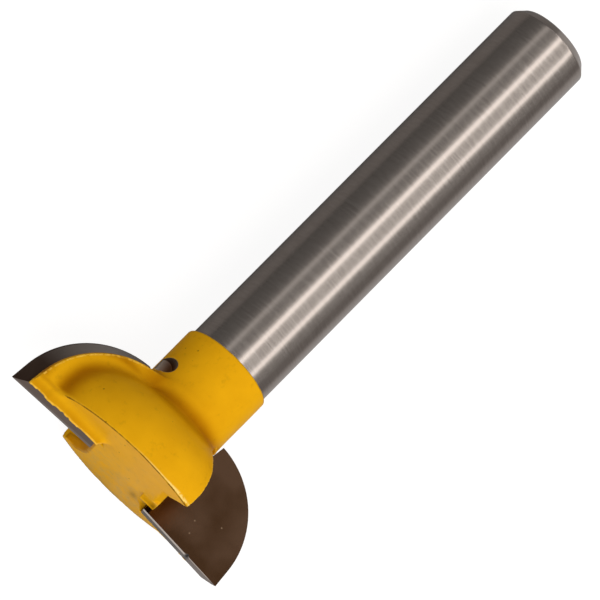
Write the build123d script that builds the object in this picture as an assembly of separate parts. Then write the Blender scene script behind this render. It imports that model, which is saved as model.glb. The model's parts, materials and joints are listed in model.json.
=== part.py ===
from build123d import *
from math import asin
from math import atan2
from math import cos
from math import degrees
from math import hypot
from math import radians
from math import sin
from math import sqrt
from math import tan
import os

# Finger grip router bit with two brazed carbide tips, in millimetres.
# It is drawn upright: the tool's axis is Z, the tips' lowest points are at z = 0 and the shank points up.
# The +X wing has its rake face towards -Y. The other wing is the same, turned half a turn about Z.
# At the end the whole tool is laid down as it rests on a bench.

# Shank and collar
shank_diameter = 6.35
shank_length = 32.18
shank_end_chamfer = 0.60
shank_end_chamfer_angle = 41.0
collar_diameter = 6.75
collar_top = 10.82

# Carbide tips
cutting_diameter = 19.05
profile_radius = 6.35
profile_centre_height = 0.77
flank_lean = 5.0
tip_thickness = 1.50
rake_offset = 0.65
tip_root = 2.60
tip_root_lean = 7.7
bottom_dish_angle = 2.6
bottom_relief_angle = 6.5
side_relief = 1.06
top_relief = 0.15
profile_relief = 0.10

# Steel head behind the tips
tip_overhang = 1.00
rim_thickness = 0.45
rim_relief = 0.10
dome_radius = 8.35
dome_offset = 2.50
dome_arc_radius = 3.80
dome_top = 5.70
groove_radius = 0.40

# Lip of steel that backs the overhang of each tip
lip_end = 2.05
lip_angle = 22.0

# Chip gullets
gullet_wall = 3.13
gullet_straight = 3.90
gullet_flare_angle = 50.0
gullet_corner_radius = 0.50
gullet_top = 6.65
gullet_bevel_width = 0.45
gullet_bevel_depth = 0.30

# Seat of each tip, and the ridge left in front of it
braze_gap = 0.05
seat_runout = 0.60
seat_runout_depth = 0.70
ridge_start = 1.94
ridge_width = 0.45
ridge_height = 0.36

# Drilled hole in the collar
hole_diameter = 1.20
hole_height = 7.71
hole_offset = 2.83
hole_floor = 0.60

# Sizes that follow from the ones above
shank_radius = shank_diameter / 2
collar_radius = collar_diameter / 2
cutting_radius = cutting_diameter / 2
shank_end = collar_top + shank_length
back_plane = rake_offset + tip_thickness
rim_plane = back_plane + rim_thickness
profile_top = profile_centre_height + profile_radius
back_outer = cutting_radius - side_relief
back_profile_radius = profile_radius - profile_relief
back_arc_height = profile_top - top_relief - back_profile_radius
back_lift = tip_thickness * tan(radians(bottom_relief_angle))
dome_centre_radius = dome_radius - dome_arc_radius
dome_centre_height = dome_top - dome_arc_radius
clear_of_tool = cutting_diameter
half_right_angle = radians(45)


def root_line(height):
    # The tip's inner edge leans outwards on its way up.
    return tip_root + height * tan(radians(tip_root_lean))


def dished(x, outer, lift):
    # Height of a tip's bottom edge, which rises from its outer corner towards the axis.
    return lift + (outer - x) * tan(radians(bottom_dish_angle))


def behind(depth, outline):
    # Stands a closed outline of x and z up in the plane that lies depth behind the tool's axis.
    return Plane.XZ.offset(-depth) * make_face(outline)


def half_turn(solid):
    return Rot(0, 0, 180) * solid


def flank_end(outer, radius, arc_height, lift):
    # Where the straight flank above a tip's corner runs smoothly into the round profile.
    lean = radians(flank_lean)
    height = arc_height + radius * sin(lean)
    return (outer - (height - lift) * tan(lean), height)


def arc_centre(outer, radius, arc_height, lift):
    # How far the round profile's centre lies from the tool's axis.
    return flank_end(outer, radius, arc_height, lift)[0] - radius * cos(radians(flank_lean))


def tip_section(depth, outer, radius, arc_height, lift):
    # Bottom edge, outer corner, leaning flank, round profile and leaning inner edge.
    centre = arc_centre(outer, radius, arc_height, lift)
    shoulder = flank_end(outer, radius, arc_height, lift)
    inner_bottom = (root_line(dished(tip_root, outer, lift)), dished(tip_root, outer, lift))
    top_x = root_line(arc_height + radius)
    top = (top_x, arc_height + sqrt(radius ** 2 - (top_x - centre) ** 2))
    middle = (centre + radius * cos(half_right_angle), arc_height + radius * sin(half_right_angle))
    outline = Line(inner_bottom, (outer, lift))
    outline += Line((outer, lift), shoulder)
    outline += ThreePointArc(shoulder, middle, top)
    outline += Line(top, inner_bottom)
    return behind(depth, outline)


def make_tip():
    # The back section is smaller all round, which gives the cutting edge its clearance.
    rake_face = tip_section(rake_offset, cutting_radius, profile_radius, profile_centre_height, 0)
    back_face = tip_section(back_plane, back_outer, back_profile_radius, back_arc_height, back_lift)
    return loft([rake_face, back_face], ruled=True)


def rim_section(depth, shrink):
    # The outline of a tip's back, carried inwards until it runs into the collar.
    outer = back_outer - shrink
    radius = back_profile_radius - shrink
    centre = arc_centre(outer, radius, back_arc_height, back_lift)
    shoulder = flank_end(outer, radius, back_arc_height, back_lift)
    crown = (centre, back_arc_height + radius)
    middle = (centre + radius * cos(half_right_angle), back_arc_height + radius * sin(half_right_angle))
    outer_bottom = (outer, back_lift)
    lip_bottom = (lip_end, dished(lip_end, back_outer, back_lift))
    outline = Polyline(crown, (0, crown[1]), (0, tip_overhang), (lip_end, tip_overhang), lip_bottom, outer_bottom)
    outline += Line(outer_bottom, shoulder)
    outline += ThreePointArc(shoulder, middle, crown)
    return behind(depth, outline)


def make_strip(thickness):
    # Steel right behind a tip, to its full outline. It draws in by the rim's relief with its thickness.
    shrink = rim_relief * thickness / rim_thickness
    return loft([rim_section(back_plane, 0), rim_section(back_plane + thickness, shrink)], ruled=True)


def make_plate():
    # The rim before its profile is cut.
    size = (cutting_radius, rim_thickness, profile_top)
    return Pos(0, back_plane, tip_overhang) * Box(*size, align=(Align.MIN, Align.MIN, Align.MIN))


def make_trim():
    # What is cut away round the profile of a rim, down to the collar.
    thickness = rim_thickness + groove_radius
    size = (clear_of_tool, thickness, 2 * profile_top)
    block = Pos(0, back_plane, tip_overhang) * Box(*size, align=(Align.MIN, Align.MIN, Align.MIN))
    return block - make_strip(thickness) - Cylinder(collar_radius, 4 * clear_of_tool)


def make_lip():
    # The foot of the strip slopes up from the tip's back to the underside of the head.
    rise = tip_overhang / tan(radians(lip_angle))
    wedge = make_face(
        Polyline(
            (back_plane, -tip_overhang),
            (back_plane, 0),
            (back_plane + tip_overhang, rise),
            (back_plane + tip_overhang, -tip_overhang),
            close=True,
        )
    )
    along_edge = Vector(1, 0, -tan(radians(bottom_dish_angle)))
    start = Pos(0, 0, dished(0, back_outer, back_lift)) * (Plane.YZ * wedge)
    above = Pos(0, 0, tip_overhang) * Box(
        4 * clear_of_tool, 4 * clear_of_tool, clear_of_tool, align=(Align.CENTER, Align.CENTER, Align.MIN)
    )
    return make_strip(rim_thickness) - above - extrude(start, amount=clear_of_tool, dir=along_edge)


def make_dome():
    # Turned about an axis set over to the far side, so the near side falls away behind the rim.
    edge_drop = tip_overhang - dome_centre_height
    edge = (dome_centre_radius + sqrt(dome_arc_radius ** 2 - edge_drop ** 2), tip_overhang)
    crown = (dome_centre_radius, dome_top)
    middle_x = dome_centre_radius + dome_arc_radius * cos(half_right_angle)
    middle = (middle_x, dome_centre_height + dome_arc_radius * sin(half_right_angle))
    outline = Polyline(crown, (0, dome_top), (0, tip_overhang), edge)
    outline += ThreePointArc(edge, middle, crown)
    return Pos(0, dome_offset, 0) * revolve(behind(0, outline), Axis.Z, 360)


def make_shaft():
    # Ground shank with a chamfered end, on a collar left a little larger.
    end_inset = shank_end_chamfer * tan(radians(shank_end_chamfer_angle))
    outline = Polyline(
        (0, tip_overhang),
        (collar_radius, tip_overhang),
        (collar_radius, collar_top),
        (shank_radius, collar_top),
        (shank_radius, shank_end - shank_end_chamfer),
        (shank_radius - end_inset, shank_end),
        (0, shank_end),
        close=True,
    )
    return revolve(behind(0, outline), Axis.Z, 360)


def groove_edges(head):
    # The inside corners that the dome, the plates and the collar make with each other.
    near = 0.01
    found = []
    for edge in head.edges():
        points = [edge.position_at(0.3), edge.position_at(0.7)]
        if min(p.Z for p in points) < tip_overhang + near:
            continue
        if max(p.Z for p in points) > tip_overhang + profile_top:
            continue
        on_rim = all(abs(abs(p.Y) - rim_plane) < near for p in points)
        on_collar = all(abs(hypot(p.X, p.Y) - collar_radius) < near for p in points)
        curved = edge.geom_type == GeomType.BSPLINE and edge.length > collar_radius
        if (on_rim and on_collar) or (curved and (on_rim or on_collar)):
            found.append(edge)
    return found


def make_head():
    dome = make_dome()
    plate = make_plate()
    trim = make_trim()
    head = (dome & half_turn(dome)) + plate + half_turn(plate) + make_shaft()
    return fillet(groove_edges(head), groove_radius) - trim - half_turn(trim)


def make_gullet():
    # The chip space in front of a rake face: a straight wall that flares out to the dome's edge.
    straight_end = rake_offset - gullet_straight
    flare = Vector(sin(radians(gullet_flare_angle)), -cos(radians(gullet_flare_angle))) * clear_of_tool
    flare_end = Vector(gullet_wall, straight_end) + flare
    wall_foot = (gullet_wall, rake_offset)
    wall_top = (gullet_wall, straight_end)
    outer_x = gullet_wall + 2 * clear_of_tool
    plan = make_face(
        Polyline(wall_foot, wall_top, flare_end, (outer_x, flare_end.Y), (outer_x, rake_offset), close=True)
    )
    corner = plan.vertices().sort_by_distance(Vector(gullet_wall, straight_end, 0))[0]
    return extrude(fillet(corner, gullet_corner_radius), amount=gullet_top)


def make_gullet_bevel():
    # A narrow bevel where the gullet's wall meets the underside.
    section = make_face(
        Polyline(
            (gullet_wall - gullet_bevel_width, tip_overhang),
            (gullet_wall, tip_overhang + gullet_bevel_depth),
            (gullet_wall, tip_overhang),
            close=True,
        )
    )
    start = Plane.XZ.offset(-rake_offset + ridge_width) * section
    return extrude(start, amount=gullet_straight - ridge_width)


def make_seat():
    # The pocket a tip lies in, open towards the gullet and outwards, with the cutter's run-out inside it.
    foot = (root_line(0) - braze_gap, 0)
    head_end = (root_line(profile_top) - braze_gap, profile_top)
    pocket = Polyline(foot, head_end, (clear_of_tool, profile_top), (clear_of_tool, 0), close=True)
    runout_end = tip_overhang + seat_runout_depth
    runout = Polyline(
        (tip_root - seat_runout, 0),
        (tip_root - seat_runout, tip_overhang),
        (root_line(runout_end), runout_end),
        (root_line(runout_end), 0),
        close=True,
    )
    return extrude(behind(rake_offset, pocket) + behind(rake_offset, runout), amount=-tip_thickness)


def make_ridge():
    # The ridge of braze that covers the foot of the rake face under the gullet's wall.
    section = make_face(
        Polyline(
            (rake_offset, tip_overhang - ridge_height),
            (rake_offset - ridge_width, tip_overhang),
            (rake_offset, tip_overhang),
            close=True,
        )
    )
    return extrude(Plane.YZ.offset(ridge_start) * section, amount=gullet_wall - ridge_start)


def make_hole():
    drill = Cylinder(hole_diameter / 2, clear_of_tool, align=(Align.CENTER, Align.CENTER, Align.MIN))
    return Plane.XZ.offset(hole_floor) * Pos(-hole_offset, hole_height) * drill


def make_body():
    body = make_head() - make_hole()
    for turn in (0, 180):
        for cut in (make_gullet(), make_gullet_bevel(), make_seat()):
            body -= Rot(0, 0, turn) * cut
        for bead in (make_lip(), make_ridge()):
            body += Rot(0, 0, turn) * bead
    return body


def lying_turn():
    # The tool rolls onto its dome and tips down onto the rim of its shank's end.
    run = shank_end - shank_end_chamfer - dome_centre_height
    drop = shank_radius - (dome_centre_radius - dome_offset)
    pitch = degrees(asin(dome_arc_radius / hypot(run, drop)) - atan2(drop, run))
    return Rot(0, pitch, 0) * Rot(0, 90, 0) * Rot(0, 0, -90)


def lay_down(pieces):
    # The origin is on the bench, under the middle of the tool.
    turned = {name: lying_turn() * piece for name, piece in pieces.items()}
    box = Compound(list(turned.values())).bounding_box()
    to_origin = Pos(-box.center().X, -box.center().Y, -box.min.Z)
    return {name: to_origin * piece for name, piece in turned.items()}


upright = {
    "cutter_body": make_body(),
    "carbide_tip_right": make_tip(),
    "carbide_tip_left": half_turn(make_tip()),
}
os.makedirs("parts", exist_ok=True)
for name, piece in lay_down(upright).items():
    export_step(piece, f"parts/{name}.step")
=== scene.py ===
import json
import math
import bmesh
import bpy
import numpy as np
from mathutils import Matrix, Vector


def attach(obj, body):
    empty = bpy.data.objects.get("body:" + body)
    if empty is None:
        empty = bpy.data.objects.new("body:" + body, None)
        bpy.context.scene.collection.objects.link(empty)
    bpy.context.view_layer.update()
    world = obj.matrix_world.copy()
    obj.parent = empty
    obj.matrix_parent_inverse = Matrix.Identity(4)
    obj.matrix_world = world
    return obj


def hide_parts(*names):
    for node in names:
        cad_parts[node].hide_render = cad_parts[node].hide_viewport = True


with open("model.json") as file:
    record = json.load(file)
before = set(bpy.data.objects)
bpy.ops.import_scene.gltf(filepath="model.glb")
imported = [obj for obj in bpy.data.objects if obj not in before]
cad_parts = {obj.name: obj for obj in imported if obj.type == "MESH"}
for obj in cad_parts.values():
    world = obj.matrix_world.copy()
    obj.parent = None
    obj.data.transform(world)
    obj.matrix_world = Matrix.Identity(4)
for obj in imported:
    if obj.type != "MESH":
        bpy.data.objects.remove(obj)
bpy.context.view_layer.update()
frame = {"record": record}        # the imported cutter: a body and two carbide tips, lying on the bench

mm = 0.001
print("frame loaded")


# The upright tool in millimetres: its axis is z, the tips' feet are at z = 0, the right wing lies
# along +x with its rake face towards -y, and the left wing is that one turned half a turn. Where a
# function or a table takes a turn, 1 is the right wing and -1 the left one.
tool = {
    "collarTop": 10.82,
    "collarRadius": 3.375,
    "rakeOffset": 0.65,      # the rake faces' planes lie this far from the axis
    "tipThickness": 1.50,
    "tipRoot": 2.60,
    "rootLean": 7.7,         # degrees
    "cuttingRadius": 9.525,
    "dishAngle": 2.6,        # degrees
    "profileRadius": 6.35,
    "profileHeight": 0.77,
    "flankLean": 5.0,        # degrees
    # the tips' back has up to 0.3 mm more relief than the CAD's, as the finished grinding shows it
    "profileRelief": 0.18,
    "sideRelief": 1.09,
    "topRelief": 0.42,
    "bottomRelief": 6.5,     # degrees
}
backPlane = tool["rakeOffset"] + tool["tipThickness"]
flankLean = math.radians(tool["flankLean"])
dish = math.tan(math.radians(tool["dishAngle"]))
rootSlope = math.tan(math.radians(tool["rootLean"]))
profileTop = tool["profileHeight"] + tool["profileRadius"]
backRadius = tool["profileRadius"] - tool["profileRelief"]
backOuter = tool["cuttingRadius"] - tool["sideRelief"]
backHeight = profileTop - tool["topRelief"] - backRadius
backLift = tool["tipThickness"] * math.tan(math.radians(tool["bottomRelief"]))


# how far from the axis a profile's arc has its centre, so that it touches the leaning flank
def arcCentre(outer, radius, height, lift):
    shoulder = height + radius * math.sin(flankLean)
    return outer - (shoulder - lift) * math.tan(flankLean) - radius * math.cos(flankLean)


backCentre = arcCentre(backOuter, backRadius, backHeight, backLift)

# The tool's axes in the row's frame follow from the shank's mount.
shankMount = next(m for m in frame["record"]["mounts"] if m["name"] == "shank")
shankRadius = shankMount["dims"]["r_mm"]
gripLength = shankMount["dims"]["length_mm"]
axisZ = np.array(shankMount["axis"], float)
axisZ /= np.linalg.norm(axisZ)
axisX = np.array([0.0, -1.0, 0.0])
axisY = np.cross(axisZ, axisX)
toolAxes = np.stack([axisX, axisY, axisZ])
toolOrigin = np.array(shankMount["pos_m"]) - axisZ * (tool["collarTop"] + gripLength / 2) * mm


# from the tool's millimetres to the row's metres: the origin plus each coordinate along its axis
def toRow(points):
    return toolOrigin + np.asarray(points, float) * mm @ toolAxes


# 0 up to the start, 1 from the end on, and a straight line between them
def rise(value, start, end):
    return np.clip((value - start) / (end - start), 0, 1)


# a bell curve: 1 at no distance, 0.37 at the reach, and nearly 0 at twice the reach
def bell(distance, reach, power=2):
    return np.exp(-np.abs(distance / reach) ** power)


# sRGB hex to the linear colour that a node takes
def hexColour(code):
    channels = np.array([int(code[i:i + 2], 16) for i in (1, 3, 5)]) / 255
    linear = np.where(channels <= 0.04045, channels / 12.92, ((channels + 0.055) / 1.055) ** 2.4)
    return (*linear.tolist(), 1.0)


# adds one node with its settings, fills its inputs with values or with other nodes' sockets, and
# gives a colour ramp its stops, which are pairs of place and linear colour
def addNode(tree, kind, inputs=None, stops=(), **settings):
    made = tree.nodes.new(kind)
    for name, value in settings.items():
        setattr(made, name, value)
    for name, value in (inputs or {}).items():
        if isinstance(value, bpy.types.NodeSocket):
            tree.links.new(value, made.inputs[name])
        else:
            made.inputs[name].default_value = value
    while stops and len(made.color_ramp.elements) < len(stops):
        made.color_ramp.elements.new(1.0)
    for index, (place, colour) in enumerate(stops):
        made.color_ramp.elements[index].position = place
        made.color_ramp.elements[index].color = colour
    return made


# the empty node tree of a material or a world
def startTree(owner):
    owner.use_nodes = True
    owner.node_tree.nodes.clear()
    return owner.node_tree


# a new object in the scene
def addObject(name, data):
    made = bpy.data.objects.new(name, data)
    bpy.context.scene.collection.objects.link(made)
    return made


# an empty material with its output, and the tool's own millimetres as a pattern's coordinates
def startMaterial(name):
    material = bpy.data.materials.new(name)
    tree = startTree(material)
    output = addNode(tree, "ShaderNodeOutputMaterial")
    place = addNode(tree, "ShaderNodeTexCoord")
    upright = addNode(tree, "ShaderNodeMapping", {
        "Vector": place.outputs["Object"],
        "Location": toolOrigin.tolist(),
        "Rotation": Matrix(toolAxes.T.tolist()).to_euler(),
        "Scale": (mm, mm, mm),
    }, vector_type="TEXTURE")
    return material, tree, output, upright.outputs["Vector"]


# Sprayed and baked enamel: a glossy skin that pools in the corners, thins on the edges and shows a
# faint orange peel in its highlights. Its colour also carries painted shade in the corners and by
# the braze, painted highlights along edges and beads, and a painted sheen on the underside.
enamel = {
    "colour": "#F1AF10",
    "deep": "#B87400",       # where it pools, and painted shade in the corners
    "deepest": "#8C5400",
    "edgeHighlight": "#F8BE30",       # painted highlight over a convex edge, where the paint also thins
    "bead": "#FFD978",       # painted highlight on the crest of a bead of paint
    "rimHighlight": "#FFC84A",    # the same painted highlight along the rims
    "dustAndSheen": "#CBA75E",      # the underside's dust, with a painted sheen of grazing reflection
    "dirt": "#3A2606",
    "seam": "#6E4200",       # painted shade along the domes' lower edges
    "fluxAndShade": "#2A1706",       # burnt flux round the braze, with painted shade in its recesses
    "deepShare": 0.67,       # of the way from its plain colour to the deepest
    "roughness": 0.34,
    "ior": 1.5,
    "gloss": 0.05,           # of the usual strength of its reflections, dulled by dust
    "peelDepth": 0.004,      # mm
    "drilled": "#94867B",    # bare steel in the mouth of the hole
    "drilledShade": "#82593A",           # and further in, browner and darker: painted shade in the bore
    "drilledDepths": (0.1, 0.7),        # mm in from the collar's skin to each of them
    "drilledRoughness": 0.5,
    # noises: cells to the mm, detail and roughness
    "noises": {
        "clouds": (0.45, 3.0, 0.55),    # slow changes in how deep the paint is
        "patches": (1.6, 3.0, 0.7),     # of haze and dirt
        "grains": (3.4, 2.0, 0.6),      # that break up the beads
        "peel": (1 / 0.55, 2.0, 0.5),   # 0.55 mm from one dimple to the next
    },
    "specks": 1.1,           # cells to the mm that may hold a speck of dirt
    "cleanShare": 0.62,      # and the part of them that don't
    # a mark's values at two places on its scale, with a straight line between them
    "slopes": {
        "cloudy": ("clouds", 0.35, 0.70, 0.0, 0.12),
        "speck": ("speckCentre", 0.05, 0.09, 1.0, 0.0),
        "broken": ("patches", 0.36, 0.56, 0.35, 0.9),
    },
    # soft steps: the mark that each follows, where it is nothing and where it is full
    "steps": {
        "hazy": ("patches", 0.25, 0.70),
        "stained": ("patches", 0.56, 0.72),
        "shadeLineIn": ("seamGap", -0.17, -0.06),
        "shadeLineOut": ("seamGap", 0.06, 0.0),
        "highlightIn": ("seamGap", 0.0, 0.05),
        "highlightOut": ("seamGap", 0.15, 0.07),
        "highlightGrain": ("grains", 0.36, 0.50),
        "rimHighlightIn": ("beadGap", -0.02, 0.03),
        "rimHighlightOut": ("beadGap", 0.20, 0.08),
        "rimHighlightGrain": ("grains", 0.34, 0.62),
        "painted": ("bore", 0.02, 0.05),
    },
    # what is mixed into the paint's colour, from the lowest, real dirt and painted light alike: its
    # colour, its strength, and the marks whose product says where it is
    "layers": [
        ("edgeHighlight", 1.0, ["edge"]),
        ("dustAndSheen", 1.0, ["haze", "hazy"]),
        ("dirt", 0.10, ["stained"]),
        ("dirt", 0.55, ["speck", "rare"]),
        ("seam", 1.0, ["shadeLineIn", "shadeLineOut", "broken"]),
        ("bead", 1.0, ["highlightIn", "highlightOut", "glint", "highlightGrain"]),
        ("rimHighlight", 1.0, ["rimHighlightIn", "rimHighlightOut", "rimHighlightGrain"]),
        ("fluxAndShade", 1.0, ["fluxAndShade"]),
    ],
}


def makeEnamel():
    material, tree, output, place = startMaterial("bakedEnamelPaint")
    marks = {key: addNode(tree, "ShaderNodeAttribute", attribute_name=key).outputs["Fac"]
             for key in ("poolAndShade", "edge", "seamGap", "beadGap", "glint", "haze", "fluxAndShade", "bore",
                         "boreDepth")}
    for key, (scale, detail, roughness) in enamel["noises"].items():
        marks[key] = addNode(tree, "ShaderNodeTexNoise", {
            "Vector": place, "Scale": scale, "Detail": detail, "Roughness": roughness,
        }).outputs["Fac"]
    specks = addNode(tree, "ShaderNodeTexVoronoi", {
        "Vector": place, "Scale": enamel["specks"], "Randomness": 1.0})
    marks["speckCentre"] = specks.outputs["Distance"]
    chance = addNode(tree, "ShaderNodeSeparateColor", {"Color": specks.outputs["Color"]})
    marks["rare"] = addNode(tree, "ShaderNodeMath", {
        0: chance.outputs["Red"], 1: enamel["cleanShare"]}, operation="GREATER_THAN").outputs[0]
    ranges = [(key, slope, "LINEAR") for key, slope in enamel["slopes"].items()]
    ranges += [(key, (*step, 0.0, 1.0), "SMOOTHSTEP") for key, step in enamel["steps"].items()]
    for key, (mark, start, end, low, high), curve in ranges:
        marks[key] = addNode(tree, "ShaderNodeMapRange", {
            "Value": marks[mark], "From Min": start, "From Max": end, "To Min": low, "To Max": high,
        }, interpolation_type=curve).outputs["Result"]
    poolsShadeAndClouds = addNode(tree, "ShaderNodeMath", {
        0: marks["poolAndShade"], 1: marks["cloudy"]}, operation="ADD")
    colour = addNode(tree, "ShaderNodeValToRGB", {"Fac": poolsShadeAndClouds.outputs[0]}, [
        (0.0, hexColour(enamel["colour"])),
        (enamel["deepShare"], hexColour(enamel["deep"])),
        (1.0, hexColour(enamel["deepest"])),
    ]).outputs["Color"]
    for code, strength, names in enamel["layers"]:
        share = strength
        for key in names:
            share = addNode(tree, "ShaderNodeMath", {
                0: share, 1: marks[key]}, operation="MULTIPLY").outputs[0]
        colour = addNode(tree, "ShaderNodeMix", {
            "Factor": share, 6: colour, 7: hexColour(enamel[code])}, data_type="RGBA").outputs[2]
    bump = addNode(tree, "ShaderNodeBump", {
        "Height": marks["peel"], "Distance": enamel["peelDepth"] * mm, "Strength": 1.0})
    surface = addNode(tree, "ShaderNodeBsdfPrincipled", {
        "Base Color": colour, "Roughness": enamel["roughness"], "IOR": enamel["ior"],
        "Specular IOR Level": 0.5 * enamel["gloss"], "Normal": bump.outputs["Normal"]})
    # bare steel in the drilled hole: matt, and browner and darker further in, as painted shade
    mouth, deep = enamel["drilledDepths"]
    brown = addNode(tree, "ShaderNodeValToRGB", {"Fac": marks["boreDepth"]}, [
        (mouth, hexColour(enamel["drilled"])), (deep, hexColour(enamel["drilledShade"]))])
    drilled = addNode(tree, "ShaderNodeBsdfPrincipled", {
        "Base Color": brown.outputs["Color"], "Metallic": 1.0,
        "Roughness": enamel["drilledRoughness"]})
    skin = addNode(tree, "ShaderNodeMixShader", {
        0: marks["painted"], 1: drilled.outputs["BSDF"], 2: surface.outputs["BSDF"]})
    tree.links.new(skin.outputs["Shader"], output.inputs["Surface"])
    return material


# Centreless-ground tool steel: scratches run round the shank, so every light draws out into a
# long streak along it with a grainy edge.
steel = {
    "dark": "#AA9F98",
    "light": "#BAB0A9",
    "roughness": (0.16, 0.21),          # in the dark grain and in the light grain
    "grainSpan": (0.3, 0.7),            # the noise's values that count as dark and as light
    "anisotropy": 0.6,
    "grainLength": 1.25,     # mm round the shank
    "grainWidth": 0.09,      # mm, drawn about five times as coarse as the real grit marks, to show
    "grainDepth": 0.0004,    # mm
}


def makeSteel():
    material, tree, output, place = startMaterial("centrelessGroundSteel")
    slow, close = 1 / steel["grainLength"], 1 / steel["grainWidth"]
    stretched = addNode(tree, "ShaderNodeMapping", {"Vector": place, "Scale": (slow, slow, close)})
    grain = addNode(tree, "ShaderNodeTexNoise", {
        "Vector": stretched.outputs["Vector"], "Scale": 1.0, "Detail": 4.0, "Roughness": 0.65,
    }).outputs["Fac"]
    bump = addNode(tree, "ShaderNodeBump", {
        "Height": grain, "Distance": steel["grainDepth"] * mm, "Strength": 1.0})
    start, end = steel["grainSpan"]
    shade = addNode(tree, "ShaderNodeValToRGB", {"Fac": grain}, [
        (start, hexColour(steel["dark"])), (end, hexColour(steel["light"]))])
    rough = addNode(tree, "ShaderNodeMapRange", {
        "Value": grain, "From Min": start, "From Max": end,
        "To Min": steel["roughness"][0], "To Max": steel["roughness"][1]})
    # the way round the shank, at right angles to its axis and to its skin
    facing = addNode(tree, "ShaderNodeNewGeometry")
    around = addNode(tree, "ShaderNodeVectorMath", {
        0: facing.outputs["Normal"], 1: axisZ.tolist()}, operation="CROSS_PRODUCT")
    surface = addNode(tree, "ShaderNodeBsdfPrincipled", {
        "Base Color": shade.outputs["Color"], "Metallic": 1.0, "Roughness": rough.outputs["Result"],
        "Anisotropic": steel["anisotropy"], "Normal": bump.outputs["Normal"],
        "Tangent": around.outputs["Vector"]})
    tree.links.new(surface.outputs["BSDF"], output.inputs["Surface"])
    return material


# Tungsten carbide: the rake face is lapped to a dark mirror with a brown cast, the relief faces
# keep the fine parallel marks of the diamond wheel. The lapped finish alone has the flecks and the
# painted shade at the rake face's root.
carbide = {
    "lapped": {
        "light": "#6C513E", "dark": "#573D29", "roughness": 0.24, "markDepth": 0.0001, "flecksAndRootShade": 1.0},
    "ground": {
        "light": "#655041", "dark": "#523C2E", "roughness": 0.30, "markDepth": 0.0006, "flecksAndRootShade": 0.0},
    "top": "#D2C8C0",        # painted reflection on the relief high on the round profile
    "landReflection": "#BDB1A7",      # painted reflection on the narrow land under the edge
    "darkShade": "#160D08",      # painted shade: at the rake face's root, on the relief behind the land and in a nick
    "speck": "#B0957C",
    "shadeGloss": 0.16,      # of the usual strength of reflections, where the painted shade takes the metal away
    "footShade": -0.16,      # darker at the foot and lighter higher up
    "topShade": 0.13,
    "shadeHeight": 6.0,      # mm that this takes
    "rootShadeEdge": (3.02, 3.12),           # mm from the axis, where the painted shade at the rake face's root ends
    "clouds": 0.4,           # cells to the mm
    "cloudSpan": (0.35, 0.65),          # the values that count as dark and as light
    "flecks": 0.36,          # cells to the mm
    "fleckEdge": (0.012, 0.026),        # of a cell
    "fleckLevel": 0.8,
    "markLean": 35.0,        # degrees
    "markLength": 2.5,       # mm
    "markWidth": 0.12,       # mm, coarser than the real wheel marks, to show
}


def makeCarbide(name, finish):
    material, tree, output, place = startMaterial(name)
    marks = {key: addNode(tree, "ShaderNodeAttribute", attribute_name=key).outputs["Fac"]
             for key in ("arcReflection", "landReflection", "darkShade")}
    cloud = addNode(tree, "ShaderNodeTexNoise", {
        "Vector": place, "Scale": carbide["clouds"], "Detail": 2.0, "Roughness": 0.5})
    side = addNode(tree, "ShaderNodeSeparateXYZ", {0: place})
    height = addNode(tree, "ShaderNodeMapRange", {
        "Value": side.outputs["Z"], "From Min": 0.0, "From Max": carbide["shadeHeight"],
        "To Min": carbide["footShade"], "To Max": carbide["topShade"]}, clamp=False)
    blend = addNode(tree, "ShaderNodeMath", {
        0: cloud.outputs["Fac"], 1: height.outputs["Result"]}, operation="ADD")
    start, end = carbide["cloudSpan"]
    shade = addNode(tree, "ShaderNodeValToRGB", {"Fac": blend.outputs[0]}, [
        (start, hexColour(finish["dark"])), (end, hexColour(finish["light"]))]).outputs["Color"]
    apart = addNode(tree, "ShaderNodeMath", {0: side.outputs["X"]}, operation="ABSOLUTE")
    flat = addNode(tree, "ShaderNodeCombineXYZ", {"X": side.outputs["X"], "Y": side.outputs["Z"]})
    fleck = addNode(tree, "ShaderNodeTexVoronoi", {
        "Vector": flat.outputs["Vector"], "Scale": carbide["flecks"], "Randomness": 1.0,
    }, voronoi_dimensions="2D")
    # painted shade at the rake face's root, and the flecks
    for key, value, (full, end), level in (
        ("root", apart.outputs[0], carbide["rootShadeEdge"], 1.0),
        ("fleck", fleck.outputs["Distance"], carbide["fleckEdge"], carbide["fleckLevel"]),
    ):
        marks[key] = addNode(tree, "ShaderNodeMapRange", {
            "Value": value, "From Min": full, "From Max": end,
            "To Min": level * finish["flecksAndRootShade"], "To Max": 0.0}).outputs["Result"]
    for key, code in (("arcReflection", "top"), ("landReflection", "landReflection"), ("darkShade", "darkShade"), ("root", "darkShade"),
                      ("fleck", "speck")):
        shade = addNode(tree, "ShaderNodeMix", {
            "Factor": marks[key], 6: shade, 7: hexColour(carbide[code]),
        }, data_type="RGBA").outputs[2]
    width = 1 / carbide["markWidth"]
    stretched = addNode(tree, "ShaderNodeMapping", {
        "Vector": place, "Rotation": (0.0, math.radians(carbide["markLean"]), 0.0),
        "Scale": (1 / carbide["markLength"], width, width)})
    grit = addNode(tree, "ShaderNodeTexNoise", {
        "Vector": stretched.outputs["Vector"], "Scale": 1.0, "Detail": 3.0, "Roughness": 0.6})
    bump = addNode(tree, "ShaderNodeBump", {
        "Height": grit.outputs["Fac"], "Distance": finish["markDepth"] * mm, "Strength": 1.0})
    # the metal is taken away where the painted shade lies, so that it stays dark
    bare = addNode(tree, "ShaderNodeMath", {0: 1.0, 1: marks["darkShade"]}, operation="SUBTRACT")
    surface = addNode(tree, "ShaderNodeBsdfPrincipled", {
        "Base Color": shade, "Metallic": bare.outputs[0], "Roughness": finish["roughness"],
        "Specular IOR Level": 0.5 * carbide["shadeGloss"], "Normal": bump.outputs["Normal"]})
    tree.links.new(surface.outputs["BSDF"], output.inputs["Surface"])
    return material


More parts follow.
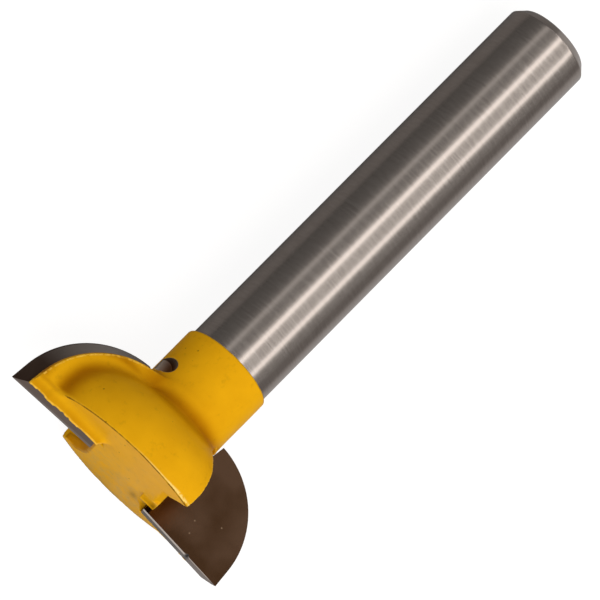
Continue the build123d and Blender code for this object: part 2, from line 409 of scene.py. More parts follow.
enamelPaint = makeEnamel()
groundSteel = makeSteel()
lappedCarbide = makeCarbide("lappedTungstenCarbide", carbide["lapped"])
groundCarbide = makeCarbide("diamondGroundCarbide", carbide["ground"])
print("materials made")


# quads between the neighbouring rings of a grid of points, numbered ring by ring
def gridFaces(rings, columns):
    ring, column = np.meshgrid(np.arange(rings - 1), np.arange(columns), indexing="ij")
    nextColumn = (column + 1) % columns
    corners = [ring * columns + column, ring * columns + nextColumn,
               (ring + 1) * columns + nextColumn, (ring + 1) * columns + column]
    return np.stack(corners, -1).reshape(-1, 4)


# A mesh piece from points in the tool's millimetres and quads. Points that coincide are welded,
# which closes seams and poles, and closed shells are turned outwards.
def makePiece(name, points, quads, materials, faceMaterials=None, sharpAngle=None, attributes=None):
    mesh = bpy.data.meshes.new(name)
    mesh.vertices.add(len(points))
    mesh.vertices.foreach_set("co", toRow(points).astype(np.float32).ravel())
    mesh.loops.add(quads.size)
    mesh.loops.foreach_set("vertex_index", quads.astype(np.int32).ravel())
    mesh.polygons.add(len(quads))
    mesh.polygons.foreach_set("loop_start", np.arange(0, quads.size, 4, dtype=np.int32))
    for material in materials:
        mesh.materials.append(material)
    if faceMaterials is not None:
        mesh.polygons.foreach_set("material_index", faceMaterials.astype(np.int32))
    for key, values in (attributes or {}).items():
        layer = mesh.attributes.new(key, "FLOAT", "POINT")
        layer.data.foreach_set("value", values.astype(np.float32))
    mesh.update(calc_edges=True)
    shell = bmesh.new()
    shell.from_mesh(mesh)
    bmesh.ops.remove_doubles(shell, verts=shell.verts, dist=1e-4 * mm)
    bmesh.ops.recalc_face_normals(shell, faces=shell.faces)
    shell.to_mesh(mesh)
    shell.free()
    mesh.polygons.foreach_set("use_smooth", np.ones(len(mesh.polygons), bool))
    if sharpAngle is not None:
        mesh.set_sharp_from_angle(angle=math.radians(sharpAngle))
    piece = addObject(name, mesh)
    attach(piece, "root")
    return piece


# The shank: a profile of radius and height carried round the axis. It starts inside the collar and
# ends in a chamfer whose corners are a little broken.
shank = {
    "buried": 0.4,           # mm inside the collar
    "chamfer": 0.60,
    "chamferAngle": 41.0,    # degrees
    "cornerBreak": 0.05,
    "rings": 40,             # along the straight part
    "endRings": (0.75, 0.5, 0.25, 0.0),     # of the end face's radius
    "steps": 256,            # round the axis
    "sharpAngle": 50,        # degrees
}


def makeShank():
    bottom = tool["collarTop"] - shank["buried"]
    shoulder = tool["collarTop"] + gripLength
    end = shoulder + shank["chamfer"]
    rim = shankRadius - shank["chamfer"] * math.tan(math.radians(shank["chamferAngle"]))
    soft = shank["cornerBreak"]
    lengths = np.linspace(bottom, shoulder - soft, shank["rings"])
    profile = [(0.0, bottom)]
    profile += [(shankRadius, height) for height in lengths]
    # the two corners, each with a point between those where its break begins and ends
    profile += [
        (shankRadius - 0.2 * soft, shoulder + 0.1 * soft), (shankRadius - soft, shoulder + soft),
        (rim + soft, end - soft), (rim - 0.2 * soft, end - 0.1 * soft), (rim - soft, end),
    ]
    profile += [(rim * share, end) for share in shank["endRings"]]
    radius, height = np.array(profile).T
    angle = np.linspace(0, 2 * math.pi, shank["steps"], endpoint=False)
    points = np.stack([
        radius[:, None] * np.cos(angle),
        radius[:, None] * np.sin(angle),
        np.broadcast_to(height[:, None], (len(height), len(angle))),
    ], -1)
    faces = gridFaces(len(height), len(angle))
    piece = makePiece("groundShank", points.reshape(-1, 3), faces, [groundSteel],
                      sharpAngle=shank["sharpAngle"])
    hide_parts("cutter_body")


makeShank()
print("shank made")


# The painted head, in the tool's millimetres. It is a distance field: each form gives the distance
# to its own surface, negative inside, and forms are joined and cut with round corners as thick
# paint has.
head = {
    "underside": 1.00,
    "domeCentreRadius": 4.55,
    "domeCentreHeight": 1.90,
    "domeArcRadius": 3.80,
    "domeOffset": 2.50,
    "rimThickness": 0.45,
    "rimRelief": 0.14,
    "grooveRadius": 0.42,
    "collarBlend": 0.62,
    "rimEdge": 0.07,
    "coat": 0.03,            # paint thickness
    "lipEnd": 2.50,
    "lipAngle": 29.0,        # degrees from the tool's axis
    "lipFront": 2.2,         # how many times as steep it is in front of the tip's back
    "lipCone": 1.3,          # and round its inner end
    "lipBlend": 0.62,
    "lipInset": {1: 0.06, -1: -0.03},   # above the tip's foot: the left one's paint hangs under it
    "lipDrip": {1: 0.0, -1: 0.05},      # and has run down at one place
    "dripPlace": 6.7,
    "dripWidth": 0.35,
    "gulletWall": 3.13,
    "gulletStraight": 3.90,
    "gulletFlare": 50.0,     # degrees
    "gulletCorner": 0.50,
    "gulletTop": 6.15,
    "bevelWidth": 0.45,
    "bevelDepth": 0.36,
    "bevelReach": 0.90,      # how far the left one runs on round the flare
    "ridgeStart": 1.94,      # the braze ran out at the right tip alone
    "ridgeWidth": 0.45,
    "ridgeHeight": 0.36,
    "runout": 0.60,
    "runoutRun": 0.83,       # the run and the rise of its slope
    "runoutDepth": 0.70,
    "runoutLength": 1.10,    # how far back it goes before it is full of braze and paint
    "seatGap": 0.05,
    "holeRadius": 0.60,
    "holeHeight": 7.66,
    "holeSide": 2.90,
    "holeFloor": 0.60,
    "edgeRadius": 0.06,      # paint over a convex edge
    "fineRadius": 0.05,
    "wobble": 0.006,         # how far the paint's skin wanders
    "cell": 0.09,            # grid spacing of the field
    "gridFrom": (-8.7, -6.3, -0.2),
    "gridTo": (8.7, 6.3, 10.95),
    "settleReach": 0.01,     # how far off the field's slope is taken
    "settleRounds": 3,
    "bendReach": 0.06,       # how far off the field is compared to find edges
}


# smaller of two distances, with a soft fillet where the surfaces cross: a cube of how near they are
# is taken off, so that the bend sets in without a line; 1.76, six times 1 - sqrt(1/2), makes it
# reach as far in as a round of that radius
def joinRound(a, b, radius):
    reach = 1.76 * radius
    near = np.maximum(reach - np.abs(a - b), 0) / reach
    return np.minimum(a, b) - near ** 3 * reach / 6


# larger of two distances, with the same soft edge
def meetRound(a, b, radius):
    return -joinRound(-a, -b, radius)


# a thick disc with a half-round edge, turned about an axis set over to the far side
def domeField(x, y, z):
    out = np.maximum(np.hypot(x, y - head["domeOffset"]) - head["domeCentreRadius"], 0)
    return np.hypot(out, z - head["domeCentreHeight"]) - head["domeArcRadius"]


# how far outside the outline of the tips' back a point is: its distance along the arc's radius, at
# an angle kept between the leaning flank and straight up
def backOutline(x, z):
    right, up = x - backCentre, z - backHeight
    around = np.clip(np.arctan2(up, right), flankLean, math.pi / 2)
    return right * np.cos(around) + up * np.sin(around) - backRadius


# the rim behind a tip: a rounded outline that draws in with depth, kept thin by its near face
def rimField(x, y, z):
    depth = y - backPlane
    outline = backOutline(x, z) + head["rimRelief"] * depth / head["rimThickness"]
    sheet = meetRound(outline, depth - head["rimThickness"], head["rimEdge"])
    return np.maximum(np.maximum(sheet, -depth), -x)


# the lip under the rim: everything above a slope that starts at the foot of the tip's back, a
# little ragged, with a cone for its inner end
def lipField(x, y, z, turn):
    angle = math.radians(head["lipAngle"])
    ragged = 0.022 * np.sin(2.9 * x + 4.4) + 0.010 * np.sin(11.7 * x)
    drip = head["lipDrip"][turn] * bell(x - head["dripPlace"], head["dripWidth"])
    foot = backLift + (backOuter - x) * dish + ragged + head["lipInset"][turn] - drip
    depth = y - backPlane
    away = np.hypot(np.where(depth > 0, depth, head["lipFront"] * depth),
                    head["lipCone"] * np.maximum(head["lipEnd"] - x, 0))
    return (foot - z) * math.sin(angle) + away * math.cos(angle)


# the chip space in front of a rake face: a straight wall that flares out to the dome's edge
def gulletSides(x, y):
    flare = math.radians(head["gulletFlare"])
    corner = tool["rakeOffset"] - head["gulletStraight"]
    wall = head["gulletWall"] - x
    slant = -(x - head["gulletWall"]) * math.cos(flare) - (y - corner) * math.sin(flare)
    return meetRound(wall, slant, head["gulletCorner"])


# the same space, ended by the rake face's plane and by its top
def gulletField(x, y, z):
    return np.maximum(np.maximum(gulletSides(x, y), y - tool["rakeOffset"]), z - head["gulletTop"])


# the narrow bevel where the gullet's wall meets the underside: the right one stops at the ridge of
# braze, and the left one runs on round the flare
def bevelField(x, y, z, turn):
    run, depth = head["bevelWidth"], head["bevelDepth"]
    ahead = y - tool["rakeOffset"]
    if turn > 0:
        sides, start, end = head["gulletWall"] - x, head["ridgeWidth"], head["gulletStraight"]
    else:
        sides, start, end = gulletSides(x, y), 0.0, head["gulletStraight"] + head["bevelReach"]
    slope = ((sides - run) * depth + (z - head["underside"]) * run) / math.hypot(run, depth)
    return np.maximum(np.maximum(slope, ahead + start), -end - ahead)


# the pocket that a tip lies in, with the cutter's run-out at its inner end
def seatField(x, y, z):
    between = np.maximum(tool["rakeOffset"] - y, y - backPlane)
    lean = math.radians(tool["rootLean"])
    wall = (tool["tipRoot"] - head["seatGap"] - x) * math.cos(lean) + z * math.sin(lean)
    pocket = np.maximum(wall, z - profileTop)
    run, depth = head["runoutRun"], head["runoutDepth"]
    filled = np.clip((y - tool["rakeOffset"]) / head["runoutLength"], 0, 1)
    start = tool["tipRoot"] - head["runout"] * (1 - filled)
    slope = (-(x - start) * depth + (z - head["underside"]) * run) / math.hypot(run, depth)
    runout = np.maximum(slope, start - x)
    return np.maximum(np.minimum(pocket, runout), between)


# the rake face itself, which is ground clean after painting
def rakeField(x, y, z):
    across = np.abs(y - tool["rakeOffset"]) - 2 * head["coat"]
    return np.maximum(np.maximum(head["gulletWall"] - x, z - head["gulletTop"]), across)


# the ridge of braze over the foot of the right rake face: a slope that ends at the underside's
# level, from its start outwards
def ridgeField(x, y, z):
    width, height = head["ridgeWidth"], head["ridgeHeight"]
    ahead = y - tool["rakeOffset"]
    level = z - head["underside"]
    slope = (-ahead * height - (level + height) * width) / math.hypot(width, height)
    return np.maximum(np.maximum(slope, ahead), np.maximum(head["ridgeStart"] - x, level - height))


# a slow wander of the paint's skin: two products of crossed waves, the second shorter and weaker
def paintWander(x, y, z):
    return (np.sin(2.1 * x + 1.3 * y + 0.4) * np.sin(1.7 * z - 1.1 * x + 1.9)
            + 0.6 * np.sin(3.7 * y + 2.9 * z + 0.8) * np.sin(3.1 * x - 2.3 * z)) / 1.6


# the drilled hole in the collar: a round bore with a flat floor
def holeField(x, y, z):
    bore = np.hypot(x + head["holeSide"], z - head["holeHeight"]) - head["holeRadius"]
    return np.maximum(bore, y + head["holeFloor"])


# the whole head: domes, collar and rims joined, ended by the underside and the lips, with what is
# cut from them, the paint's thickness over it all, and what is ground or drilled after painting
def headField(x, y, z):
    fine = head["fineRadius"]
    wings = {1: (x, y, z), -1: (-x, -y, z)}
    dome = np.maximum(domeField(*wings[1]), domeField(*wings[-1]))
    collar = np.hypot(x, y) - tool["collarRadius"]
    field = joinRound(dome, collar, head["collarBlend"])
    for wing in wings.values():
        rim = rimField(*wing)
        field = np.minimum(field, joinRound(dome, rim, head["grooveRadius"]))
        field = np.minimum(field, joinRound(collar, rim, head["collarBlend"]))
    bottom = head["underside"] - z
    for turn, wing in wings.items():
        bottom = joinRound(bottom, lipField(*wing, turn), head["lipBlend"])
    field = meetRound(field, bottom, head["edgeRadius"])
    field = joinRound(field, ridgeField(*wings[1]), fine)
    for turn, wing in wings.items():
        field = meetRound(field, -gulletField(*wing), head["edgeRadius"])
        field = meetRound(field, -bevelField(*wing, turn), fine)
    field = meetRound(field, z - tool["collarTop"], fine) - head["coat"]
    field = field - head["wobble"] * paintWander(x, y, z)
    for wing in wings.values():
        field = np.maximum(field, -seatField(*wing))
        field = np.maximum(field, -rakeField(*wing))
    return meetRound(field, -holeField(x, y, z), fine)


# Surface net: each cell that the surface crosses gets one point, at the mean of the crossings on
# its edges, and each grid edge that it crosses gets a quad between the four cells round that edge.
def netSurface(values, corner, step):
    inside = values < 0
    count = sum(inside[i:i - 1 or None, j:j - 1 or None, k:k - 1 or None].astype(np.int8)
                for i in (0, 1) for j in (0, 1) for k in (0, 1))
    mixed = (count > 0) & (count < 8)
    cells = np.argwhere(mixed)
    number = np.full(mixed.shape, -1, np.int64)
    number[mixed] = np.arange(len(cells))
    total = np.zeros((len(cells), 3))
    hits = np.zeros(len(cells))
    quads = []
    for axis in range(3):
        along = np.eye(3, dtype=int)[axis]
        side, other = (axis + 1) % 3, (axis + 2) % 3
        for a in (0, 1):
            for b in (0, 1):
                start = cells.copy()
                start[:, side] += a
                start[:, other] += b
                first = values[tuple(start.T)]
                second = values[tuple((start + along).T)]
                crossed = (first < 0) != (second < 0)
                share = np.where(crossed, first / np.where(crossed, first - second, 1), 0)
                total += crossed[:, None] * (start + share[:, None] * along)
                hits += crossed
        lower = np.moveaxis(inside, (axis, side, other), (0, 1, 2))
        change = lower[:-1, 1:-1, 1:-1] != lower[1:, 1:-1, 1:-1]
        grid = np.moveaxis(number, (axis, side, other), (0, 1, 2))
        i, j, k = np.nonzero(change)
        around = [grid[i, j, k], grid[i, j + 1, k], grid[i, j + 1, k + 1], grid[i, j, k + 1]]
        ring = np.stack(around, -1)
        leaving = lower[:-1, 1:-1, 1:-1][i, j, k]
        quads.append(np.where(leaving[:, None], ring, ring[:, ::-1]))
    return corner + step * total / hits[:, None], np.concatenate(quads)


# steps each point along the field's slope until it lies on the surface
def settleOn(points, field, reach, rounds):
    for _ in range(rounds):
        slope = np.stack([field(*(points + shift).T) - field(*(points - shift).T)
                          for shift in np.eye(3) * reach], -1) / (2 * reach)
        steep = np.maximum((slope ** 2).sum(-1, keepdims=True), 0.1)
        move = -field(*points.T)[:, None] * slope / steep
        points = points + np.clip(move, -head["cell"] / 2, head["cell"] / 2)
    return points


# how strongly the surface bends: the field's value around each point less its value there
def bendOf(points, field, reach):
    around = sum(field(*(points + shift).T) + field(*(points - shift).T)
                 for shift in np.eye(3) * reach)
    return (around - 6 * field(*points.T)) / reach ** 2


# Marks on the head's paint, in mm. A pool darkens a corner, for paint that pools there and for painted
# shade; it has how far it reaches and how dark it is.
coatMarks = {
    "rimPool": (0.70, 0.35),            # in the groove behind a rim, near the axis
    "outerPool": (1.10, 1.15),          # and at the wing's outer end
    "outerSpan": (3.5, 6.5),            # from the axis, where the one turns into the other
    "grooveShare": 2.8,      # how much more the dome's distance counts there than the rim's
    "collarPool": (0.74, 1.0),          # between dome and collar
    "neckPool": (1.0, 0.9),             # between collar and rim
    "lipShade": (0.10, 0.42),
    "bevelShade": (0.07, 0.8),
    "poolLevel": 0.67,
    "poolStart": (0.02, 0.27),          # above the underside, where the first three set in
    "edgeBend": (5, 17),     # bends of the skin where its paint starts to thin and is thinnest, and its painted edge highlight starts and is full
    "haze": (0.05, 0.55),    # how strong the underside's dust and painted sheen are under the near side and under the far side
    "hazeSpan": (-2.5, 3.5),
    "glintSpan": (-1.0, 3.0),           # along a dome's edge, where its bead comes to shine
    "beadSpan": (2.2, 3.6),             # and where it widens
    "beadWidening": 1.1,
    "seatFluxShade": 0.45,        # painted shade and flux in the seat, on the right alone
    "footFluxShade": 0.42,        # painted shade and flux at the foot of each rake face
    "ridgeFluxShade": 0.32,       # painted shade and flux along the edge of the underside
    "smear": 0.4,            # on the underside
    "collarLine": 0.4,       # round the collar's top
    "none": 9.0,             # a gap that stands for no bead at all
}


# The gaps that marks follow, each for the nearer wing: to a rim, to a lip, and to the line of a
# bead, which is counted in from the edge of a rim's near face or back from the foot of a lip, at
# the points that lie close enough to either.
def wingGaps(x, y, z):
    gaps = []
    for turn in (1, -1):
        out, depth = x * turn, y * turn - backPlane
        rim = np.abs(rimField(out, y * turn, z) - head["coat"])
        lip = np.abs(lipField(out, y * turn, z, turn) - head["coat"])
        onRim = (rim < 0.07) & (z > 1.05) & (out > 3.5)
        onLip = (lip < 0.12) & (z < 0.95) & (out > 2.0)
        inwards = depth - head["rimThickness"] - backOutline(out, z) - head["rimRelief"]
        bead = np.where(onLip, 1.7 * depth + 0.02, coatMarks["none"])
        gaps.append([rim, lip, np.where(onRim, inwards, bead)])
    return np.min(gaps, axis=0)


# how dark the corners are painted, for pooled paint and for painted shade, with the lip and the left
# bevel painted shade alone: the darkest of the pools, each a bell curve of its gaps' sum
def poolMark(x, y, z, domes, collar, rim, lip):
    outer = rise(np.abs(x), *coatMarks["outerSpan"])
    reach, level = (near + (far - near) * outer
                    for near, far in zip(coatMarks["rimPool"], coatMarks["outerPool"]))
    byRim = bell(coatMarks["grooveShare"] * domes + rim, reach) * level
    reach, level = coatMarks["collarPool"]
    byCollar = bell(domes + collar, reach) * level
    reach, level = coatMarks["neckPool"]
    byNeck = bell(collar + rim, reach) * level * (0.25 + 0.75 * rise(collar, 0, 0.3))
    above = rise(z - head["underside"] + head["coat"], *coatMarks["poolStart"])
    reach, level = coatMarks["lipShade"]
    byLip = bell(lip, reach) * level * rise(z, 1.25, 1.05)
    reach, level = coatMarks["bevelShade"]
    byBevel = (np.abs(bevelField(-x, -y, z, -1)) < reach) * level
    corners = np.maximum(np.maximum(byRim, byCollar), byNeck) * above
    return coatMarks["poolLevel"] * np.clip(np.maximum(np.maximum(corners, byLip), byBevel), 0, 1.5)


# Burnt flux and painted shade: the right seat, and a spot and a line by each rake face's foot, are
# painted shade in those recesses as well as flux; a smear on the underside and a line round the
# collar's top are flux alone. Spots are products of bell curves along the three axes.
def brazeAndShadeMark(x, y, z, level):
    fluxAndShade = 0.0
    for turn in (1, -1):
        out, ahead = x * turn, y * turn - tool["rakeOffset"]
        foot = bell(out - 3.0, 0.28) * bell(ahead + 0.25, 0.32) * bell(z - 0.72, 0.3)
        ridge = bell(out - 2.6, 0.62, 4) * bell(ahead + 0.22, 0.26) * (z > 0.7) * (z < 0.96)
        fluxAndShade = fluxAndShade + coatMarks["footFluxShade"] * foot + coatMarks["ridgeFluxShade"] * ridge
    ahead = y - tool["rakeOffset"]
    inSeat = (ahead > -0.02) & (ahead < 0.9) & (x > 1.9) & (x < 2.7) & (z < 1.2)
    smear = bell(x - 1.5, 0.3) * bell(y - 2.4, 0.6) * bell(level, 0.1)
    line = rise(z - tool["collarTop"], -0.08, -0.02)
    fluxAndShade = fluxAndShade + coatMarks["seatFluxShade"] * inSeat + coatMarks["smear"] * smear
    return np.clip(fluxAndShade + coatMarks["collarLine"] * line, 0, 0.9)


# the attributes that the enamel reads at each point of the skin
def headMarks(x, y, z, bend):
    coat = head["coat"]
    level = z - head["underside"] + coat
    collar = np.abs(np.hypot(x, y) - tool["collarRadius"] - coat)
    both = [domeField(x, y, z) - coat, domeField(-x, -y, z) - coat]
    domes = np.minimum(*np.abs(both))
    dome = np.maximum(*both)
    rim, lip, bead = wingGaps(x, y, z)
    # how far along a dome's lower edge, from the wing's outer end towards the gullet
    along = -x * np.sign(y)
    seam = level + dome
    widened = seam / (1 + coatMarks["beadWidening"] * rise(along, *coatMarks["beadSpan"]))
    seam = np.where(seam > 0, widened, seam)
    onSeam = (np.minimum(np.abs(level), np.abs(dome)) < 0.045) & (rim > 0.3)
    near, far = coatMarks["haze"]
    haze = near + (far - near) * rise(y, *coatMarks["hazeSpan"])
    return {
        # painted highlight over convex edges, where the paint also thins
        "edge": rise(bend, *coatMarks["edgeBend"]),
        # painted shade and pooled paint in the corners
        "poolAndShade": poolMark(x, y, z, domes, collar, rim, lip),
        "seamGap": np.where(onSeam, seam, coatMarks["none"]),
        "beadGap": bead,
        "glint": rise(along, *coatMarks["glintSpan"]),
        # dust on the underside, with a painted sheen of grazing reflection
        "haze": bell(level, 0.05) * haze,
        "fluxAndShade": brazeAndShadeMark(x, y, z, level),
        "bore": holeField(x, y, z),
        "boreDepth": tool["collarRadius"] - np.hypot(x, y),
    }


def makeHead():
    step = head["cell"]
    axes = [np.arange(a, b, step) for a, b in zip(head["gridFrom"], head["gridTo"])]
    grid = np.meshgrid(*axes, indexing="ij")
    points, quads = netSurface(headField(*grid), np.array(head["gridFrom"]), step)
    points = settleOn(points, headField, head["settleReach"], head["settleRounds"])
    bend = bendOf(points, headField, head["bendReach"])
    attributes = headMarks(*points.T, bend)
    piece = makePiece("paintedHead", points, quads, [enamelPaint], attributes=attributes)
    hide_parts("cutter_body")
    return piece


headPiece = makeHead()
print("head made:", len(headPiece.data.polygons), "faces")


# A carbide tip: sections of bottom edge, corner land, round profile and leaning root, set one
# behind the other and mixed straight between the rake face's outline and the back's smaller one.
tip = {
    "edgeBreak": 0.012,      # mm that each edge is broken by
    "landShare": 0.27,       # part of the thickness that the narrow land under the edge takes
    "landShareOut": 0.10,    # and beyond the nick
    "landEdge": 0.02,        # half of how wide its border is
    "landLift": 0.35,        # how much of the even relief the land has
    "landEnd": (9.2, 8.7),   # mm from the axis, where its shine has ended and where it is full
    "nickPlace": 6.80,       # mm from the axis, on the right tip only
    "nickWidth": 0.12,
    "nickDepth": 0.13,
    "nickShade": 0.19,       # half of how wide the painted shade in it is
    "shine": {1: 1.0, -1: 0.12},        # how bright the painted reflection on the land is
    "dull": {1: 0.75, -1: 0.0},         # how dark the relief behind it is painted, as shade
    "dullEnd": (7.4, 5.8),   # mm from the axis, where that painted shade has ended and where it is full
    "topAngles": (0.2, 1.0),            # radians round the profile, where its painted reflection begins
    "bottomSteps": 180,
    "arcSteps": 140,
    "rootSteps": 40,
    "capRings": (0.0, 0.25, 0.5, 0.75, 0.93),   # of the way from a face's middle to its outline
    "sharpAngle": 24,        # degrees
}


# a section's outline at a share of the thickness: the straight mix of the front's and the back's,
# with less relief along the land
def tipSection(share):
    landed = np.interp(share, [0, tip["landShare"], 1], [0, tip["landShare"] * tip["landLift"], 1])
    sections = []
    for outer, radius, arcHeight, lift in (
        (tool["cuttingRadius"], tool["profileRadius"], tool["profileHeight"], 0.0),
        (backOuter, backRadius, backHeight, backLift),
    ):
        foot = lift + (outer - tool["tipRoot"]) * dish
        inner = np.array([tool["tipRoot"] + foot * rootSlope, foot])
        topX = tool["tipRoot"] + (arcHeight + radius) * rootSlope
        centre = arcCentre(outer, radius, arcHeight, lift)
        endAngle = math.acos((topX - centre) / radius)
        angle = np.linspace(flankLean, endAngle, tip["arcSteps"])
        arc = np.stack([centre + radius * np.cos(angle), arcHeight + radius * np.sin(angle)], -1)
        bottom = np.linspace(inner, (outer, lift), tip["bottomSteps"])
        land = np.linspace((outer, lift), arc[0], 8)[1:-1]
        root = np.linspace(arc[-1], inner, tip["rootSteps"])[1:-1]
        sections.append([bottom, land, arc, root])
    front, back = sections
    bottom = front[0] * (1 - share) + back[0] * share
    even = front[0][:, 1] * (1 - landed) + back[0][:, 1] * landed
    bottom = np.stack([bottom[:, 0], even], -1)
    rest = [a * (1 - share) + b * share for a, b in zip(front[1:], back[1:])]
    return np.concatenate([bottom, *rest])


# the sections with their marks of painted reflection and painted shade, closed by smaller copies of the
# first and the last
def makeTip(name, turn, nicked):
    thinBreak = tip["edgeBreak"] / tool["tipThickness"]
    depths = [0.0, thinBreak, 0.08, 0.12, tip["landShare"] - tip["landEdge"],
              tip["landShare"] + tip["landEdge"], 0.45, 0.7, 1 - thinBreak, 1.0]
    rings, landReflection, darkShade, arcReflection = [], [], [], []
    for share in depths:
        section = tipSection(share)
        bottom = np.arange(len(section)) < tip["bottomSteps"]
        place = section[:, 0]
        beyond = rise(place, tip["nickPlace"], tip["nickPlace"] + 0.2)
        width = tip["landShare"] * (1 - beyond) + tip["landShareOut"] * beyond
        land = rise(share, width + tip["landEdge"], width - tip["landEdge"])
        fade = rise(place, *tip["landEnd"]) * (share > 0)
        # the land's painted reflection, brightest on the right tip
        landReflection.append(land * bottom * tip["shine"][turn] * fade)
        # painted shade in the nick and on the relief behind the land
        nick = bell(place - tip["nickPlace"], tip["nickShade"], 4) * nicked * (share > 0)
        reliefShading = tip["dull"][turn] * (1 - land) * rise(place, *tip["dullEnd"])
        darkShade.append(np.maximum(reliefShading, nick) * bottom)
        # painted reflection high on the round profile
        angle = np.arctan2(section[:, 1] - tool["profileHeight"], place - tool["tipRoot"])
        arcReflection.append(rise(angle, *tip["topAngles"]) * ~bottom * (share > 0.1))
        if nicked and share < tip["landShare"]:
            chip = tip["nickDepth"] * bell(place - tip["nickPlace"], tip["nickWidth"]) * bottom
            section[:, 1] += chip * (1 - share / tip["landShare"])
        rings.append(section)
    middle = rings[0].mean(0)
    inward = 1 - tip["edgeBreak"] / 4.0     # the outlines lie about 4 mm from their middle
    rings[0] = middle + (rings[0] - middle) * inward
    rings[-1] = middle + (rings[-1] - middle) * inward
    caps = len(tip["capRings"])
    stack = [middle + (rings[0] - middle) * share for share in tip["capRings"]] + rings
    stack += [middle + (rings[-1] - middle) * share for share in reversed(tip["capRings"])]
    outline = np.array(stack)
    nothing = [np.zeros(outline.shape[1])] * caps
    attributes = {key: np.array(nothing + marks + nothing).ravel()
                  for key, marks in (("landReflection", landReflection), ("darkShade", darkShade), ("arcReflection", arcReflection))}
    depth = np.array([0.0] * caps + depths + [1.0] * caps)
    depth = tool["rakeOffset"] + depth * tool["tipThickness"]
    points = np.stack([
        outline[..., 0] * turn,
        np.broadcast_to(depth[:, None], outline.shape[:2]) * turn,
        outline[..., 1],
    ], -1)
    faces = gridFaces(*outline.shape[:2])
    band = np.repeat(np.arange(len(stack) - 1), outline.shape[1])
    kinds = np.where(band < caps, 0, 1)
    return makePiece(name, points.reshape(-1, 3), faces, [lappedCarbide, groundCarbide], kinds,
                     tip["sharpAngle"], attributes)


for name, node, turn in (("rightTip", "carbide_tip_right", 1), ("leftTip", "carbide_tip_left", -1)):
    tipPiece = makeTip(name, turn, turn == 1)
    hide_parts(node)
print("tips made")


# The camera stands where the photograph was taken: a little under square to the near side, on the
# cutting end's side, with the axis running up to the right.
view = {
    "tilt": 17.5,            # degrees that the camera looks up the tool from the cutting end
    "roll": 45 - 0.236,      # degrees that the axis leans in the picture
    "distance": 600.0,       # mm
    "pixelsPerMm": 15.27,
    "pictureSize": 600,      # pixels
    "aimHeight": 10.70,      # mm up the axis
    "aimPixel": (224.36, 370.03),       # where that point shows
    "filmWidth": 36.0,       # mm
    "clip": (0.01, 10.0),    # m
}


def makeCamera():
    tilt = math.radians(view["tilt"])
    roll = math.radians(view["roll"])
    across = np.array([1.0, 0.0, 0.0])
    along = np.array([0.0, -math.sin(tilt), math.cos(tilt)])
    back = np.array([0.0, -math.cos(tilt), -math.sin(tilt)])
    right = across * math.cos(roll) + along * math.sin(roll)
    up = along * math.cos(roll) - across * math.sin(roll)
    half = view["pictureSize"] / 2
    aimX, aimY = view["aimPixel"]
    scale = view["pixelsPerMm"]
    aside = right * ((aimX - half) / scale) + up * ((half - aimY) / scale)
    place = np.array([0.0, 0.0, view["aimHeight"]]) - aside + back * view["distance"]
    data = bpy.data.cameras.new("photoCamera")
    data.sensor_width = view["filmWidth"]
    data.lens = scale * view["distance"] * view["filmWidth"] / view["pictureSize"]
    data.clip_start, data.clip_end = view["clip"]
    camera = addObject("photoCamera", data)
    turn = Matrix(np.stack([right @ toolAxes, up @ toolAxes, back @ toolAxes], -1).tolist())
    camera.matrix_world = Matrix.Translation(Vector(toRow(place))) @ turn.to_4x4()
    bpy.context.scene.camera = camera


makeCamera()
print("camera placed")


# The light: one soft lamp low to the lower right of the picture, a plain grey surround, and for
# reflections alone a room of long dark and bright bands along the tool, as the shank shows.
light = {
    "keyFrom": (0.60, -0.72, -0.36),    # in the tool's axes
    "keyDistance": 0.90,     # m
    "keySize": 0.90,         # m
    "keyLevel": 0.72,        # of a surface's own colour
    "surround": 0.45,
    "floorReach": 2.0,       # m
    "floorGrey": "#8A8785",
    "floorGlow": 0.88,       # what brings the grey card up to white for the camera
    "cardLevel": 0.50,       # a white card lies beyond the cutting end
    "cardEdge": (-0.0245, -0.0215),     # m, from where it is full to where it has ended
    "stripLevel": 0.27,      # a strip of white card along the shank's right side
    "stripEdge": (-0.016, -0.008),      # m, from where it starts to where it is full
    "bandTint": "#FFFEFC",
    "bandLevel": 3.2,        # the level that a ramp value of 1 stands for
    # degrees round the tool from straight up towards its +x side, and the level there
    "bands": [
        (-90, 0.12), (-50, 0.17), (-36, 0.25), (-31, 0.75), (-26, 0.75), (-21, 0.32), (-4, 0.34),
        (6, 0.45), (11.5, 2.6), (17.5, 2.6), (21, 0.76), (48, 0.76), (53, 2.4), (59, 2.4),
        (64, 0.42), (75, 0.33), (90, 0.38),
    ],
}


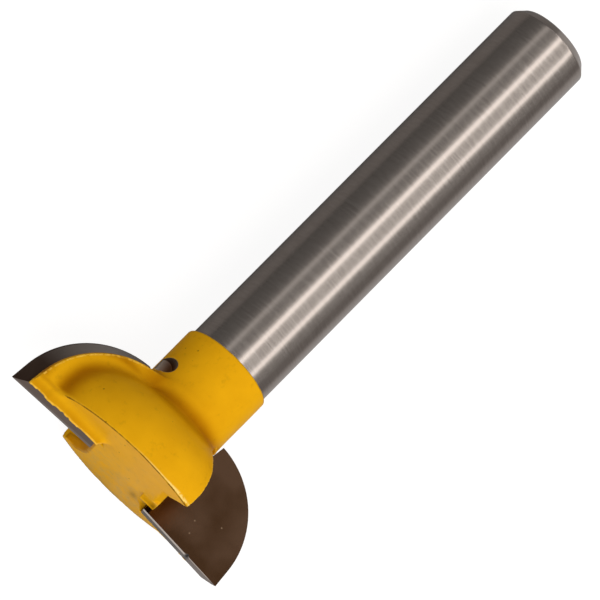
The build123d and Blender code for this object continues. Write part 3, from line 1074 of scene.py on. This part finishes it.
def makeWorld():
    world = bpy.data.worlds.new("studio")
    bpy.context.scene.world = world
    tree = startTree(world)
    output = addNode(tree, "ShaderNodeOutputWorld")
    ray = addNode(tree, "ShaderNodeLightPath")
    towards = addNode(tree, "ShaderNodeTexCoord").outputs["Generated"]
    across = addNode(tree, "ShaderNodeVectorMath", {
        0: towards, 1: axisX.tolist()}, operation="DOT_PRODUCT")
    upward = addNode(tree, "ShaderNodeVectorMath", {
        0: towards, 1: (-axisY).tolist()}, operation="DOT_PRODUCT")
    angle = addNode(tree, "ShaderNodeMath", {
        0: across.outputs["Value"], 1: upward.outputs["Value"]}, operation="ARCTAN2")
    share = addNode(tree, "ShaderNodeMapRange", {
        "Value": angle.outputs[0], "From Min": -math.pi / 2, "From Max": math.pi / 2,
        "To Min": 0.0, "To Max": 1.0})
    tint = np.array(hexColour(light["bandTint"])[:3])
    ramp = addNode(tree, "ShaderNodeValToRGB", {"Fac": share.outputs["Result"]}, [
        ((degrees + 90) / 180, (*(level / light["bandLevel"] * tint).tolist(), 1.0))
        for degrees, level in light["bands"]])
    plain = addNode(tree, "ShaderNodeBackground", {
        "Color": hexColour("#FFFFFF"), "Strength": light["surround"]})
    banded = addNode(tree, "ShaderNodeBackground", {
        "Color": ramp.outputs["Color"], "Strength": light["bandLevel"]})
    white = addNode(tree, "ShaderNodeBackground", {"Color": hexColour("#FFFFFF"), "Strength": 1.0})
    reflected = addNode(tree, "ShaderNodeMixShader", {
        0: ray.outputs["Is Glossy Ray"], 1: plain.outputs[0], 2: banded.outputs[0]})
    seen = addNode(tree, "ShaderNodeMixShader", {
        0: ray.outputs["Is Camera Ray"], 1: reflected.outputs[0], 2: white.outputs[0]})
    tree.links.new(seen.outputs[0], output.inputs["Surface"])


def makeLamp():
    data = bpy.data.lights.new("keyLamp", "AREA")
    data.shape = "DISK"
    data.size = light["keySize"]
    data.energy = light["keyLevel"] * math.pi ** 2 * light["keyDistance"] ** 2
    lamp = addObject("keyLamp", data)
    away = np.array(light["keyFrom"]) @ toolAxes
    away /= np.linalg.norm(away)
    lamp.location = Vector(away * light["keyDistance"])
    lamp.rotation_mode = "QUATERNION"
    lamp.rotation_quaternion = Vector(away).to_track_quat("Z", "Y")
    lamp.visible_glossy = False


# matt card: grey for light and shadow, with a glow of its own that the camera sees as white and the
# tool as two white cards
def makeFloor():
    material = bpy.data.materials.new("whiteCard")
    tree = startTree(material)
    output = addNode(tree, "ShaderNodeOutputMaterial")
    ray = addNode(tree, "ShaderNodeLightPath")
    place = addNode(tree, "ShaderNodeTexCoord")
    spot = addNode(tree, "ShaderNodeSeparateXYZ", {0: place.outputs["Object"]})
    cardFull, cardEnd = light["cardEdge"]
    beyond = addNode(tree, "ShaderNodeMapRange", {
        "Value": spot.outputs["X"], "From Min": cardFull, "From Max": cardEnd,
        "To Min": light["cardLevel"], "To Max": 0.0}, interpolation_type="SMOOTHSTEP")
    stripStart, stripFull = light["stripEdge"]
    beside = addNode(tree, "ShaderNodeMapRange", {
        "Value": spot.outputs["Y"], "From Min": stripStart, "From Max": stripFull,
        "To Min": 0.0, "To Max": light["stripLevel"]}, interpolation_type="SMOOTHSTEP")
    onlyRight = addNode(tree, "ShaderNodeMath", {
        0: spot.outputs["Y"], 1: 0.0}, operation="LESS_THAN")
    strip = beside.outputs["Result"]
    for limit in (ray.outputs["Is Glossy Ray"], onlyRight.outputs[0]):
        strip = addNode(tree, "ShaderNodeMath", {
            0: strip, 1: limit}, operation="MULTIPLY").outputs[0]
    around = addNode(tree, "ShaderNodeMath", {
        0: beyond.outputs["Result"], 1: strip}, operation="ADD")
    level = addNode(tree, "ShaderNodeMix", {
        "Factor": ray.outputs["Is Camera Ray"], 2: around.outputs[0], 3: light["floorGlow"],
    }, data_type="FLOAT")
    glow = addNode(tree, "ShaderNodeEmission", {
        "Color": hexColour("#FFFFFF"), "Strength": level.outputs[0]})
    card = addNode(tree, "ShaderNodeBsdfDiffuse", {"Color": hexColour(light["floorGrey"])})
    lit = addNode(tree, "ShaderNodeAddShader", {0: card.outputs[0], 1: glow.outputs[0]})
    tree.links.new(lit.outputs[0], output.inputs["Surface"])
    reach = light["floorReach"]
    corners = [(-reach, -reach, 0), (reach, -reach, 0), (reach, reach, 0), (-reach, reach, 0)]
    mesh = bpy.data.meshes.new("floor")
    mesh.from_pydata(corners, [], [(0, 1, 2, 3)])
    mesh.materials.append(material)
    floor = addObject("floor", mesh)


makeWorld()
makeLamp()
makeFloor()
bpy.context.scene.view_settings.view_transform = "Standard"
print("light and floor made")
